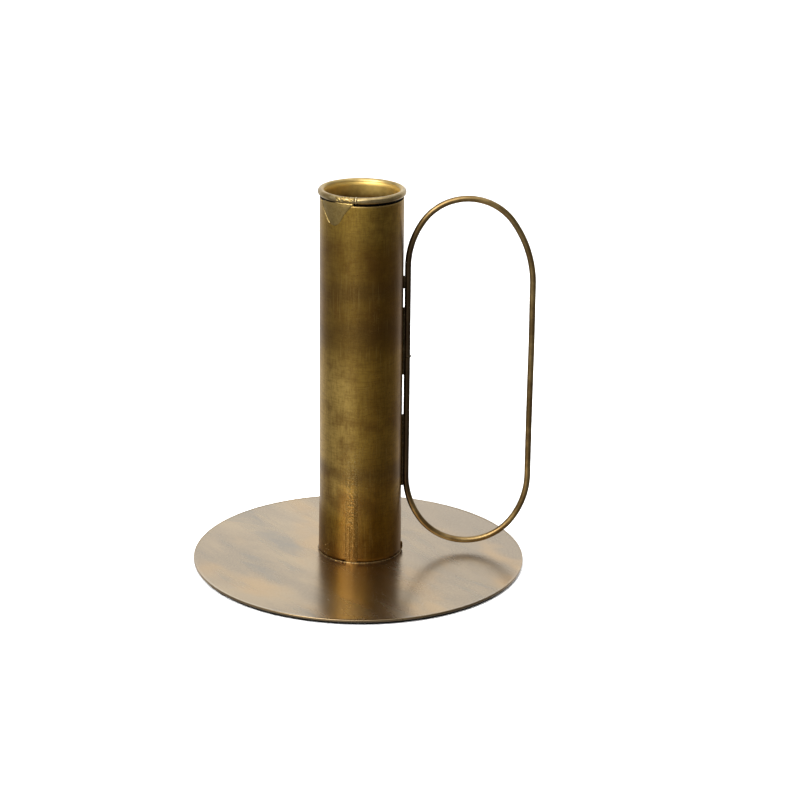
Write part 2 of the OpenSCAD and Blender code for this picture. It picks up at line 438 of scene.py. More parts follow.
def foot_fillet():
    """Brazing round the tube's foot, with grains of spatter to the left and a small bump to the
    right."""
    ring = []
    steps = 720
    for i in range(steps + 1):
        turn = 360 * i / steps
        r = TUBE_R + 0.06 + 0.06 * wobble(turn / 9, 0, 2, 1)
        r += 0.18 * math.exp(-(((turn - SEAM_TURN) / 10) ** 2))
        x, y, _ = tube_skin(*round_point(turn, r, PLATE_TOP))
        ring.append((x, y, PLATE_TOP + 0.02))

    def thickness(t, a):
        left = max(0.0, math.cos(2 * math.pi * t - math.radians(45)))
        return 0.17 + 0.12 * left + 0.06 * wobble(360 * t / 4, a, 0, 1)

    def above_disc(x, y, z):
        return x, y, max(z, PLATE_TOP - 0.1)

    body = swept("fillet", ring, thickness, sides=10)
    up = [round_point(-86, TUBE_R + 0.1, PLATE_TOP + h) for h in (0.2, 1.0, 1.9, 2.6)]
    bump = swept("bump", up, lambda t, a: 0.35 + 0.2 * math.sin(math.pi * t), sides=12)
    parts = [body, *spatter(64), bump]
    return melt(join("foot_fillet", parts), 0.1, relax=2, grain=0.04, keep=above_disc)


def cup():
    """Candle cup: a drawn sleeve, and the bead curled round its mouth, whose ends meet at a joint."""
    inn, out, low = CUP_IN_R, CUP_OUT_R - 0.01, CUP_FLOOR
    outline = (
        [(out, low)]
        + straight((out, low), (out, CURL_Z - 0.3), 10)
        + [(out, CURL_Z - 0.3), (inn + 0.12, CURL_Z + 0.1), (inn, CURL_Z)]
        + straight((inn, CURL_Z), (inn, low), 24)
        + [(inn, low)]
    )
    sleeve = lathe("sleeve", outline)
    half_gap = 2.8
    start, stop = CURL_JOINT_TURN + half_gap, CURL_JOINT_TURN + 360 - half_gap
    path = []
    steps = 420
    for i in range(steps + 1):
        turn = start + (stop - start) * i / steps
        rise = 0.03 * wobble(math.cos(math.radians(turn)), math.sin(math.radians(turn)), 0, 0.6)
        path.append(round_point(turn, CURL_X, CURL_Z - 0.03 + rise))
    bead = swept(
        "bead",
        path,
        lambda t, a: CURL_R * (1 - 0.012 * (1 + wobble(14 * t, 0.5 * math.sin(a), 0, 1))),
        sides=32,
    )
    return join("cup", [sleeve, bead])


def cup_floor():
    """Disc that closes the cup, with a fillet of solder up its wall."""
    low, high, r, out = CUP_FLOOR_LOW, CUP_FLOOR, CUP_IN_R, CUP_OUT_R - 0.02
    fillet = 0.7
    outline = (
        [(0, low), (out * 0.5, low), (out, low), (out, high - 0.02), (r + 0.02, high - 0.02)]
        + [(r, high + fillet)]
        + arc(r - fillet, high + fillet, fillet, 0, -90, 8)[1:]
        + [(r * (0.93 - 0.093 * i), high) for i in range(1, 10)]
        + [(0, high)]
    )
    return lathe("cup_floor", outline, segments=160)


def bead_point(turn, angle, lift):
    """A point on the curled bead: angle 0 is its outer side and 90 its top, lift is above its skin."""
    a = math.radians(angle)
    r = CURL_R + lift
    return round_point(turn, CURL_X + r * math.cos(a), CURL_Z + r * math.sin(a))


def outside_bore(x, y, z):
    """Keeps solder out of the candle's bore and below the CAD model's top."""
    r = math.hypot(x, y)
    least = CUP_IN_R + 0.02
    if r < least:
        x, y = x * least / r, y * least / r
    return x, y, min(z, CUP_TOP + 0.04)


def joint_braze():
    """Braze in the bead's butt joint: a bright lump with a hairline either side."""
    parts = []
    for k, angle in enumerate(range(-70, 131, 20)):
        turn = CURL_JOINT_TURN + 0.35 * noise.noise((k * 1.7, 0.3, 0.9))
        p, q = bead_point(turn - 0.3, angle, -0.32), bead_point(turn + 0.3, angle + 12, -0.3)
        parts.append(swept("bit", [p, q], lambda t, a, k=k: 0.34 + 0.05 * (k % 2), sides=10))
    bits = join("joint_braze", parts)
    return melt(bits, 0.07, relax=2, grain=0.05, grain_size=0.4, keep=outside_bore)


def rim_run():
    """Solder that clings to the bead, bridges the gap below it, and ran down the tube in a tongue. The
    tongue's edge is given by turns, and heights from the lip of the tube."""
    edge = [
        (13, 0.45), (16, -0.7), (19.5, -1.6), (22.5, -2.4), (25.5, -3.3), (29, -4.9), (33, -6.0),
        (37.5, -6.6), (43, -6.6), (48, -6.1), (52, -5.2), (55, -4.2), (58, -3.4), (60.5, -2.6),
        (62.5, -1.6), (65, -0.8), (68, 0.0), (60, 0.4), (50, 0.45), (40, 0.5), (30, 0.5), (20, 0.5),
    ]
    outline = []
    between = 6
    for i, (turn, drop) in enumerate(edge):
        after = edge[(i + 1) % len(edge)]
        for k in range(between):
            f = k / between
            outline.append((turn + (after[0] - turn) * f, TUBE_TOP + drop + (after[1] - drop) * f))
    tongue = pat("tongue", outline, 0.25, sink=0.3, grain=0.12)
    bridge_path = [round_point(12.5 + 25 * i / 40, TUBE_R - 0.55, TUBE_TOP + 0.4) for i in range(41)]
    bridge = swept("bridge", bridge_path, lambda t, a: 0.7 + 0.06 * wobble(t * 9, a, 0, 1), sides=14)
    left_edge = [round_point(turn, TUBE_R + 0.08, TUBE_TOP + drop) for turn, drop in edge[9:17]]
    rolled = swept("rolled", left_edge, lambda t, a: 0.25, sides=12)
    parts = [tongue, bridge, rolled]
    lumps = 30
    for i in range(lumps):
        turn = 10.5 + 24 * (i / (lumps - 1))
        angle = -50 + 120 * (0.5 + 0.9 * noise.noise((i * 2.3, 8.1, 0.7)))
        size = 0.3 + 0.16 * noise.noise((i * 4.1, 2.6, 1.1))
        p, q = bead_point(turn, angle, -0.17), bead_point(turn + 1.7, angle + 7, -0.16)
        parts.append(swept("lump", [p, q], lambda t, a, s=size: s, sides=12))
    return melt(join("rim_run", parts), 0.09, relax=4, grain=0.012, grain_size=0.9, keep=outside_bore)


def loop_bend(crown_r, peak, way):
    """The centre line of a bend of the loop, from left to right: a crown between two shoulders, the
    right one as wide as the loop leaves it. way is 1 for the top bend and -1 for the bottom one."""
    turn = math.radians(SHOULDER_SWEEP)
    near, far = math.cos(turn), math.sin(turn)
    right_r = (LOOP_W - SHOULDER_R * (1 - near) - 2 * crown_r * near) / (1 - near)
    left = (SHOULDER_R, -crown_r - (SHOULDER_R - crown_r) * far)
    crown = (SHOULDER_R - (SHOULDER_R - crown_r) * near, -crown_r)
    right = (LOOP_W - right_r, -crown_r - (right_r - crown_r) * far)
    points = (
        arc(*left, SHOULDER_R, 180, 180 - SHOULDER_SWEEP, 26)
        + arc(*crown, crown_r, 180 - SHOULDER_SWEEP, SHOULDER_SWEEP, 60)[1:]
        + arc(*right, right_r, SHOULDER_SWEEP, 0, 34)[1:]
    )
    return [(LOOP_X + x, peak + way * z) for x, z in points]


def loop_path():
    """The loop's centre line, from just above the wire's butt joint, over the top and back to it."""
    over = loop_bend(TOP_CROWN_R, LOOP_HIGH - WIRE_R, 1)
    under = loop_bend(LOW_CROWN_R, LOOP_LOW + WIRE_R, -1)[::-1]
    start, stop = (LOOP_X, BUTT_Z + BUTT_GAP / 2), (LOOP_X, BUTT_Z - BUTT_GAP / 2)
    line = (
        [start]
        + straight(start, over[0], 50)
        + over
        + straight(over[-1], under[0], 110)
        + under
        + straight(under[-1], stop, 70)
        + [stop]
    )
    return [(x, 0, z) for x, z in line]


def loop_wire():
    """Drawn wire bent by hand, so its right side has a slight wave, with small nicks."""
    path = []
    for x, y, z in loop_path():
        free = min(1.0, max(0.0, (x - LOOP_X) / 12))
        wave = 0.15 * free * (1 + wobble(0, 0, z, 24, 1.3))
        path.append((x - wave, y + 0.1 * free * wobble(0, 0, z, 30), z))
    return swept(
        "loop_wire",
        path,
        lambda t, a: WIRE_R * (1 - 0.012 * (1 + wobble(260 * t, math.cos(a), math.sin(a), 1.5))),
        sides=28,
    )


def loop_joint():
    """Braze in the wire's butt joint, with a rim of flash that stands out on the inside of the loop."""
    up = [(LOOP_X, 0, BUTT_Z + h) for h in (-0.3, 0, 0.3)]
    parts = [swept("core", up, lambda t, a: WIRE_R - 0.01, sides=24)]
    for i in range(9):
        a = math.radians(-80 + 20 * i)
        r = WIRE_R + 0.02
        p = (LOOP_X + r * math.cos(a), r * math.sin(a), BUTT_Z + 0.06 * (i % 3))
        size = 0.22 + 0.14 * math.cos(a)
        parts.append(swept("flash", [p, (p[0], p[1], p[2] + 0.1)], lambda t, a, s=size: s, sides=10))
    return melt(join("loop_joint", parts), 0.07, relax=2, grain=0.03, grain_size=0.4)


def side_solder(node):
    """One run of solder in the gap between wire and tube: a chain of lumps of uneven size."""
    low, high = span(node, 2)
    seed = low * 0.37
    x = (TUBE_R + LOOP_LEFT) / 2 + 0.12
    parts = []
    pitch = 0.8
    count = max(5, round((high - low) / pitch))
    for i in range(count):
        f = (i + 0.5) / count
        z = low + 0.5 + (high - low - 1) * f
        size = 0.62 + 0.2 * noise.noise((i * 1.31, seed, 0.2)) - 0.22 * abs(2 * f - 1) ** 6
        y = 0.18 * noise.noise((seed, i * 0.83, 3.3))
        parts.append(
            swept("lump", [(x, y, z - 0.45), (x, y, z + 0.45)], lambda t, a, s=size: s, sides=14)
        )
    name = node.replace("loop_solder", "side_solder")
    return melt(join(name, parts), 0.11, relax=3, grain=0.06, grain_size=0.8)


# ---------------------------------------------------------------- materials


class Graph:
    """The nodes of a material, or of the world, made by short calls. Sizes are in millimetres, and the
    size of a noise is the width of its features."""

    def __init__(self, owner, place="Object"):
        owner.use_nodes = True
        self.owner = owner
        self.tree = owner.node_tree
        self.tree.nodes.clear()
        self.place = self.add("ShaderNodeTexCoord").outputs[place]

    def add(self, kind, settings=None, **inputs):
        """A node. Each input is a socket to link or a value to set. Its name has underscores for
        spaces, or it is i and the input's number."""
        node = self.tree.nodes.new(kind)
        for key, value in (settings or {}).items():
            setattr(node, key, value)
        for key, value in inputs.items():
            numbered = key[0] == "i" and key[1:].isdigit()
            socket = node.inputs[int(key[1:]) if numbered else key.replace("_", " ")]
            if isinstance(value, bpy.types.NodeSocket):
                self.tree.links.new(value, socket)
            else:
                socket.default_value = value
        return node

    def math(self, operation, a, b=0.0):
        """A sum or comparison of two sockets or numbers. Some operations use only the first."""
        return self.add("ShaderNodeMath", {"operation": operation}, i0=a, i1=b).outputs[0]

    def noise(self, size, detail=4.0, roughness=0.5, warp=0.0, stretch=(1, 1, 1), at=(0, 0, 0), turn=0):
        """Noise from 0 to 1. stretch makes its features longer along an axis, and turn then turns
        them clockwise round Z, in degrees."""
        place = self.place
        if turn:
            turned = self.add("ShaderNodeMapping", Vector=place, Rotation=(0, 0, math.radians(turn)))
            place = turned.outputs[0]
        scale = tuple(1 / (size * MM * s) for s in stretch)
        mapping = self.add("ShaderNodeMapping", Vector=place, Scale=scale, Location=at)
        node = self.add(
            "ShaderNodeTexNoise", Vector=mapping.outputs[0], Scale=1.0, Detail=detail,
            Roughness=roughness, Distortion=warp,
        )
        return node.outputs["Fac"]

    def steps(self, value, low, high, to_low=0.0, to_high=1.0):
        """value from low to high, smoothly turned into to_low to to_high, and held outside."""
        node = self.add(
            "ShaderNodeMapRange", {"interpolation_type": "SMOOTHSTEP"}, Value=value,
            From_Min=low, From_Max=high, To_Min=to_low, To_Max=to_high,
        )
        return node.outputs["Result"]

    def mix(self, factor, a, b):
        """Colour a where factor is 0, and b where it is 1."""
        node = self.add("ShaderNodeMix", {"data_type": "RGBA", "clamp_factor": True})
        for i, value in ((0, factor), (6, a), (7, b)):
            if isinstance(value, bpy.types.NodeSocket):
                self.tree.links.new(value, node.inputs[i])
            else:
                node.inputs[i].default_value = value if i == 0 else (*value, 1.0)
        return node.outputs[2]

    def bump(self, height, depth, normal=None):
        """A bump of that many millimetres from the height's 0 to its 1."""
        node = self.add("ShaderNodeBump", Height=height, Strength=1.0, Distance=depth * MM)
        if normal is not None:
            self.tree.links.new(normal, node.inputs["Normal"])
        return node.outputs["Normal"]

    def xyz(self):
        """The object's own coordinates, in metres."""
        return self.add("ShaderNodeSeparateXYZ", Vector=self.place).outputs

    def radius(self):
        """Distance from the axis of the tube, which leans."""
        x, y, z = self.xyz()
        upright = self.math("MULTIPLY", self.math("SUBTRACT", z, PLATE_TOP * MM), LEAN)
        x = self.math("ADD", x, upright)
        square = self.math("ADD", self.math("MULTIPLY", x, x), self.math("MULTIPLY", y, y))
        return self.math("SQRT", square)

    def finish(self, **surface):
        """Adds the surface's shader, and gives back the material."""
        shader = self.add("ShaderNodeBsdfPrincipled", **surface)
        output = self.add("ShaderNodeOutputMaterial")
        self.tree.links.new(shader.outputs[0], output.inputs["Surface"])
        return self.owner


def material(name):
    """The graph of a new material."""
    return Graph(bpy.data.materials.new(name))


# Nearly black painted shade for the gap between cup and tube, below the bead and inside the tube
GAP_SHADE = (0.008, 0.005, 0.003)

# Smoky bands round the tube: height, half width and strength
SMOKE = ((99, 9, 0.55), (90, 5, 0.7), (77, 5, 0.7), (84, 12, 0.4), (31.5, 2.5, 0.65))


def hairlines(g, length, width, amount, along=2, at=(0, 0, 0)):
    """Fine scratches along an axis: 1 on a scratch and 0 elsewhere. The larger amount is, from 0 to 1,
    the more there are."""
    stretch = [1.0, 1.0, 1.0]
    stretch[along] = length / width
    lines = g.noise(width, detail=2, roughness=0.6, stretch=tuple(stretch), at=at)
    patches = g.steps(g.noise(9, detail=3, at=at), 0.45, 0.6)
    return g.math("MULTIPLY", g.steps(lines, 0.66 - 0.1 * amount, 0.74 - 0.1 * amount), patches)


def tube_patina(g, lit_side):
    """The tube's skin under its stains: brown and olive clouds, painted lighter gold as light on the
    lit front left where the mask passed in is 1, fresher near the rim, and a painted highlight lower
    down to the left, with fine sanding marks."""
    x, _, z = g.xyz()
    brown, olive, gold = (0.225, 0.108, 0.009), (0.34, 0.186, 0.021), (0.365, 0.23, 0.042)
    fresh_gold, left_highlight_gold = (0.44, 0.275, 0.048), (0.64, 0.43, 0.125)
    clouds = g.noise(24, detail=5, roughness=0.6, warp=0.6, stretch=(1.4, 1.4, 0.8))
    colour = g.mix(g.steps(clouds, 0.36, 0.66), brown, olive)
    colour = g.mix(g.math("MULTIPLY", lit_side, 0.85), colour, gold)
    fresh = g.steps(z, (TUBE_TOP - 14) * MM, (TUBE_TOP - 8) * MM, 0, 0.75)
    colour = g.mix(fresh, colour, fresh_gold)
    # painted highlight: the left side, from about 14 to 76 mm up, is painted a bright gold
    left_highlight = g.math("MULTIPLY", g.steps(z, 14 * MM, 24 * MM), g.steps(z, 60 * MM, 76 * MM, 0.6, 0))
    left_highlight = g.math("MULTIPLY", left_highlight, g.steps(x, -5 * MM, 0, 1, 0.12))
    colour = g.mix(left_highlight, colour, left_highlight_gold)
    lengthwise, round_about = (0.55, (1, 1, 6), (6, 2, 8)), (0.5, (7, 7, 1), (2, 6, 4))
    for size, stretch, at in (lengthwise, round_about):
        marks = g.noise(size, detail=4, roughness=0.75, stretch=stretch, at=at)
        colour = g.mix(g.steps(marks, 0.44, 0.64, 0, 0.3), colour, (0.12, 0.054, 0.006))
    return colour


def smoke_bands(g, z):
    """How smoky the tube is: the strongest of its bands, which drift up and down round it."""
    drift = g.math("MULTIPLY", g.math("SUBTRACT", g.noise(20, detail=3, at=(7, 7, 7)), 0.5), 12 * MM)
    drifted = g.math("ADD", z, drift)
    smoke = 0.0
    for height, half, strength in SMOKE:
        away = g.math("ABSOLUTE", g.math("SUBTRACT", drifted, height * MM))
        smoke = g.math("MAXIMUM", smoke, g.steps(away, 0, 2 * half * MM, strength, 0))
    return g.math("MULTIPLY", smoke, g.steps(g.noise(16, detail=3, at=(1, 5, 9)), 0.3, 0.6, 0.45, 1))


def heat_stains(g, colour, fine, lit_side):
    """Smoke, rusty patches, and the scorch that soldering the foot left on the tube."""
    z = g.xyz()[2]
    colour = g.mix(smoke_bands(g, z), colour, (0.10, 0.048, 0.012))
    rust = g.steps(g.noise(13, detail=4, roughness=0.6, at=(4, 8, 2)), 0.48, 0.68, 0, 0.6)
    scorch = g.steps(z, (PLATE_TOP + 2) * MM, (PLATE_TOP + 16) * MM, 0.97, 0)
    scorch = g.math("MULTIPLY", scorch, g.steps(lit_side, 0, 0.6, 0.65, 1))
    scorch = g.math("MULTIPLY", scorch, g.steps(fine, 0.3, 0.7, 1, 0.5))
    return g.mix(g.math("MAXIMUM", rust, scorch), colour, (0.155, 0.07, 0.011))


def seam_splash(g, colour, glitter, amount):
    """Glittering braze that splashed beside the seam, up to where its ridge ends, and a stripe of
    painted shade under its lower half."""
    x, y, z = g.xyz()
    aside = g.math("ABSOLUTE", g.math("SUBTRACT", x, SEAM_X * MM))
    front = g.steps(y, -1 * MM, 1 * MM, 1, 0)
    beside = g.math("MULTIPLY", g.steps(aside, 1 * MM, 5 * MM, 1, 0), front)
    # painted shade: a dark stripe beside the seam, fading out upwards from about 10 to 30 mm
    seam_foot_shade = g.math("MULTIPLY", beside, g.steps(z, 10 * MM, 30 * MM, 0.75, 0))
    colour = g.mix(seam_foot_shade, colour, (0.09, 0.047, 0.01))
    low = g.steps(z, (SEAM_RIDGE_TOP - 3) * MM, (SEAM_RIDGE_TOP + 9) * MM, 1, 0.2)
    splash = g.math("MULTIPLY", beside, low)
    splash = g.math("MULTIPLY", splash, g.steps(z, 6 * MM, 24 * MM, 0.5, 1))
    splash = g.math("MULTIPLY", splash, g.steps(glitter, 0.5, 0.62, 0, amount))
    return g.mix(splash, colour, (0.52, 0.385, 0.165))


def tube_brass(name="tube_brass", grain=0.0):
    """Antiqued brass: olive gold that has turned brown in smoky bands, with hairlines and specks.
    grain adds the glitter of braze that was filed and coloured with the tube."""
    g = material(name)
    z = g.xyz()[2]
    fine = g.noise(5, detail=6, roughness=0.7, stretch=(1, 1, 1.5), at=(3, 1, 2))
    glitter = g.noise(0.36, detail=3, roughness=0.8, at=(5, 5, 1))
    # painted light: the front left, where the key light falls, is painted a yellower, lighter skin
    lit_side = g.add("ShaderNodeVectorMath", {"operation": "DOT_PRODUCT"}, i0=g.place, i1=(-0.5, -0.87, 0))
    lit_side = g.steps(lit_side.outputs["Value"], 0.6 * TUBE_R * MM, TUBE_R * MM)
    lit_side = g.math("MULTIPLY", lit_side, g.steps(fine, 0.25, 0.6, 0.45, 1))
    colour = heat_stains(g, tube_patina(g, lit_side), fine, lit_side)
    up, round_about = hairlines(g, 16, 0.2, 0.75), hairlines(g, 9, 0.22, 0.6, along=0, at=(2, 2, 2))
    lines = g.math("MAXIMUM", up, g.math("MULTIPLY", round_about, 0.8))
    colour = g.mix(g.math("MULTIPLY", lines, 0.3), colour, (0.50, 0.34, 0.11))
    colour = seam_splash(g, colour, glitter, 0.4 + grain)
    specks = g.steps(g.noise(0.7, detail=2, roughness=0.7), 0.62, 0.74)
    specks = g.math("MULTIPLY", specks, g.steps(g.noise(12, detail=2, at=(9, 1, 1)), 0.42, 0.6))
    colour = g.mix(g.math("MULTIPLY", specks, 0.6), colour, (0.09, 0.045, 0.01))
    # painted highlight: the lip's outer edge is painted lighter where it catches the light
    lip_highlight = g.steps(z, (TUBE_TOP - 0.5) * MM, (TUBE_TOP - 0.25) * MM, 0, 0.5)
    colour = g.mix(lip_highlight, colour, (0.52, 0.36, 0.14))
    # painted shade: the inside of the tube, in the gap round the cup, is painted nearly black
    inside = g.steps(g.radius(), (TUBE_R - 0.26) * MM, (TUBE_R - 0.14) * MM, 1, 0)
    colour = g.mix(inside, colour, GAP_SHADE)
    rough = g.steps(fine, 0.3, 0.75, 0.32, 0.42)
    rough = g.math("ADD", rough, g.math("MULTIPLY", g.math("MAXIMUM", specks, inside), 0.3))
    relief = g.math("SUBTRACT", g.math("MULTIPLY", fine, 0.3), g.math("MULTIPLY", specks, 0.5))
    relief = g.math("SUBTRACT", relief, g.math("MULTIPLY", lines, 0.3))
    normal = g.bump(glitter, 0.01 + 0.06 * grain, g.bump(relief, 0.02))
    return g.finish(
        Base_Color=colour, Metallic=1.0, Roughness=rough, Normal=normal,
        Coat_Weight=0.1, Coat_Roughness=0.2,
    )


def plate_brass():
    """The disc's cloudy patina: warm tan and cool grey drifts at a slant, painted darker and browner to
    the back right as shade, brushed fine, with dark pits and a tan edge."""
    g = material("plate_brass")
    slant = 52
    tan, pale_tan, amber = (0.30, 0.235, 0.155), (0.41, 0.31, 0.185), (0.47, 0.305, 0.135)
    grey, brown, edge_tan = (0.235, 0.21, 0.175), (0.235, 0.185, 0.13), (0.26, 0.17, 0.075)
    bright, dark = (0.62, 0.51, 0.33), (0.11, 0.08, 0.045)
    clouds = g.noise(26, detail=4, roughness=0.55, warp=0.7, stretch=(2.4, 0.9, 1), turn=slant)
    drifts = g.noise(
        11, detail=5, roughness=0.6, warp=0.5, stretch=(3, 0.9, 1), at=(5, 2, 1), turn=slant
    )
    colour = g.mix(g.steps(clouds, 0.36, 0.64), tan, pale_tan)
    colour = g.mix(g.steps(drifts, 0.48, 0.72, 0, 0.8), colour, grey)
    x, y, _ = g.xyz()
    # painted shade: the disc darkens and browns towards the back right
    back_right_shade = g.steps(g.math("ADD", x, g.math("MULTIPLY", y, 0.8)), -15 * MM, 55 * MM, 0, 0.55)
    colour = g.mix(back_right_shade, colour, brown)
    warm = g.noise(19, detail=3, stretch=(2.2, 1, 1), at=(8, 3, 3), turn=slant)
    colour = g.mix(g.steps(warm, 0.5, 0.68, 0, 0.7), colour, amber)
    brush = g.noise(0.35, detail=3, roughness=0.8, stretch=(2, 1, 1), turn=slant)
    colour = g.mix(g.steps(brush, 0.42, 0.68, 0, 0.3), colour, bright)
    pits = g.steps(g.noise(0.45, detail=2, roughness=0.6, at=(2, 9, 4)), 0.66, 0.78)
    pits = g.math("MULTIPLY", pits, g.steps(g.noise(14, detail=2, at=(6, 6, 1)), 0.42, 0.62))
    colour = g.mix(g.math("MULTIPLY", pits, 0.5), colour, dark)
    x = g.math("SUBTRACT", x, PLATE_CENTRE[0] * MM)
    y = g.math("SUBTRACT", y, PLATE_CENTRE[1] * MM)
    out = g.math("SQRT", g.math("ADD", g.math("MULTIPLY", x, x), g.math("MULTIPLY", y, y)))
    side = g.steps(out, (PLATE_R - 0.25) * MM, (PLATE_R - 0.05) * MM)
    colour = g.mix(g.math("MULTIPLY", side, 0.75), colour, edge_tan)
    rough = g.math("ADD", g.steps(drifts, 0.3, 0.75, 0.23, 0.3), g.math("MULTIPLY", pits, 0.2))
    relief = g.math("SUBTRACT", g.math("MULTIPLY", brush, 0.35), g.math("MULTIPLY", pits, 0.5))
    return g.finish(
        Base_Color=colour, Metallic=1.0, Roughness=rough, Normal=g.bump(relief, 0.011),
        Coat_Weight=0.3, Coat_Roughness=0.25,
    )


def cup_brass():
    """Gold inside the cup, painted dark as shade deeper below its mouth. The bead is dull tan with
    streaks, and the gap below it is painted nearly black as shade."""
    g = material("cup_brass")
    z = g.xyz()[2]
    on_bead = g.steps(z, (CURL_Z - 0.2) * MM, (CURL_Z + 0.75) * MM)
    gold = g.mix(g.noise(9, detail=3), (0.66, 0.45, 0.12), (0.80, 0.58, 0.19))
    # painted shade: the cup's inside is painted darker deeper below the mouth
    deep_shade = g.math("MULTIPLY", g.noise(2.5, detail=4), 3 * MM)
    deep_shade = g.steps(g.math("ADD", z, deep_shade), (CURL_Z - 4.5) * MM, (CURL_Z + 0.8) * MM, 0.97, 0)
    gold = g.mix(deep_shade, gold, (0.085, 0.03, 0.001))
    radius = g.radius()
    outer = g.steps(radius, (CURL_X - 0.6) * MM, (CURL_X + 0.1) * MM)
    stains = g.noise(3, detail=4, roughness=0.65)
    dull = g.mix(g.steps(stains, 0.35, 0.7), (0.29, 0.205, 0.088), (0.46, 0.345, 0.165))
    streaks = g.noise(0.35, detail=3, roughness=0.6, stretch=(10, 10, 1), at=(3, 3, 3))
    dull = g.mix(g.steps(streaks, 0.5, 0.62, 0, 0.7), dull, (0.50, 0.40, 0.21))
    worn = g.math("MAXIMUM", outer, g.math("MULTIPLY", on_bead, 0.7))
    colour = g.mix(worn, gold, dull)
    # painted shade: the gap under the bead, outside the bore, is painted nearly black
    outside = g.steps(radius, (CUP_IN_R + 0.15) * MM, (CUP_IN_R + 0.4) * MM)
    below = g.steps(z, (CURL_Z - CURL_R) * MM, (CURL_Z - 0.75 * CURL_R) * MM, 1, 0)
    colour = g.mix(g.math("MULTIPLY", outside, below), colour, GAP_SHADE)
    rough = g.steps(g.noise(2.2, detail=4, roughness=0.6, at=(1, 1, 5)), 0.3, 0.7, 0.5, 0.56)
    rough = g.math("SUBTRACT", rough, g.math("MULTIPLY", worn, 0.22))
    relief = g.noise(0.5, detail=3, roughness=0.6)
    return g.finish(Base_Color=colour, Metallic=1.0, Roughness=rough, Normal=g.bump(relief, 0.005))


def wire_brass():
    """Aged drawn wire: brown, worn bright in patches, with dark spots, and painted dark as shade beside
    the tube.
    """
    g = material("wire_brass")
    wear = g.noise(8, detail=5, roughness=0.65)
    colour = g.mix(g.steps(wear, 0.35, 0.68), (0.165, 0.10, 0.033), (0.30, 0.205, 0.08))
    spots = g.steps(g.noise(0.8, detail=3, roughness=0.7), 0.6, 0.75)
    colour = g.mix(g.math("MULTIPLY", spots, 0.5), colour, (0.08, 0.05, 0.02))
    x = g.xyz()[0]
    # painted shade: the wire is painted nearly black next to the tube
    tube_side_shade = g.steps(x, (LOOP_X + 0.4 * WIRE_R) * MM, (LOOP_X + 3 * WIRE_R) * MM, 0.85, 0)
    colour = g.mix(tube_side_shade, colour, (0.035, 0.02, 0.01))
    draw = g.noise(0.2, detail=3, stretch=(1, 1, 14))
    rough = g.steps(wear, 0.3, 0.75, 0.34, 0.46)
    relief = g.math("SUBTRACT", g.math("MULTIPLY", draw, 0.4), g.math("MULTIPLY", spots, 0.5))
    return g.finish(
        Base_Color=colour, Metallic=1.0, Roughness=rough, Normal=g.bump(relief, 0.01),
        Coat_Weight=0.2, Coat_Roughness=0.2,
    )


def solder(name, dark, light, relief, coat=0.25):
    """Solder that has set in grains, dark in its hollows and light on its crests. relief is how deep
    the grains are, and coat the weight of its clear skin."""
    g = material(name)
    grains = g.noise(0.55, detail=4, roughness=0.65)
    stain = g.noise(3.5, detail=4, roughness=0.6, at=(4, 4, 4))
    colour = g.mix(g.steps(grains, 0.35, 0.68), dark, light)
    shade = tuple(0.45 * c for c in dark)
    colour = g.mix(g.steps(stain, 0.52, 0.74, 0, 0.5), colour, shade)
    rough = g.steps(grains, 0.3, 0.7, 0.46, 0.3)
    return g.finish(
        Base_Color=colour, Metallic=1.0, Roughness=rough, Normal=g.bump(grains, relief),
        Coat_Weight=coat, Coat_Roughness=0.25,
    )


def felt():
    """Black felt: short matted fibres with a little dust in them."""
    g = material("felt")
    fibres = g.noise(0.28, detail=5, roughness=0.75, warp=1.2)
    dust = g.steps(g.noise(1.6, detail=4, roughness=0.7), 0.55, 0.8, 0, 0.5)
    colour = g.mix(g.steps(fibres, 0.35, 0.7), (0.002, 0.0016, 0.0013), (0.008, 0.0065, 0.005))
    colour = g.mix(dust, colour, (0.014, 0.011, 0.009))
    return g.finish(
        Base_Color=colour, Roughness=0.95, Normal=g.bump(fibres, 0.12), Specular_IOR_Level=0.2
    )


def floor_finish():
    """Matt white paper, with hardly any unevenness."""
    g = material("floor")
    shade = g.noise(400, detail=2)
    colour = g.mix(shade, (0.92, 0.92, 0.92), (0.94, 0.94, 0.94))
    return g.finish(Base_Color=colour, Roughness=0.8)


# ---------------------------------------------------------------- putting the object together


def dress(obj, finish, slot, *nodes):
    """Leans a piece, gives it its material, and shows it in place of its CAD nodes. slot is not used.
    """
    for v in obj.data.vertices:
        v.co.x -= LEAN * max(0.0, v.co.z - PLATE_TOP * MM)
    obj.data.materials.clear()
    obj.data.materials.append(finish)
    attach(obj, "root")
    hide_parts(*nodes)


rim_solder = solder("rim_solder", (0.28, 0.19, 0.06), (0.37, 0.26, 0.09), 0.004, 0.1)
joint_solder = solder("joint_solder", (0.45, 0.34, 0.16), (0.72, 0.58, 0.33), 0.02)
# painted shade: this solder sits in the shaded gap beside the tube, and its colours are painted nearly
# black
loop_solder = solder("loop_solder", (0.035, 0.024, 0.012), (0.09, 0.062, 0.028), 0.05, 0.1)
seam_braze = tube_brass("seam_braze", grain=0.2)
foot_braze = solder("foot_braze", (0.05, 0.024, 0.007), (0.36, 0.235, 0.09), 0.05, 0.15)
cup_finish = cup_brass()

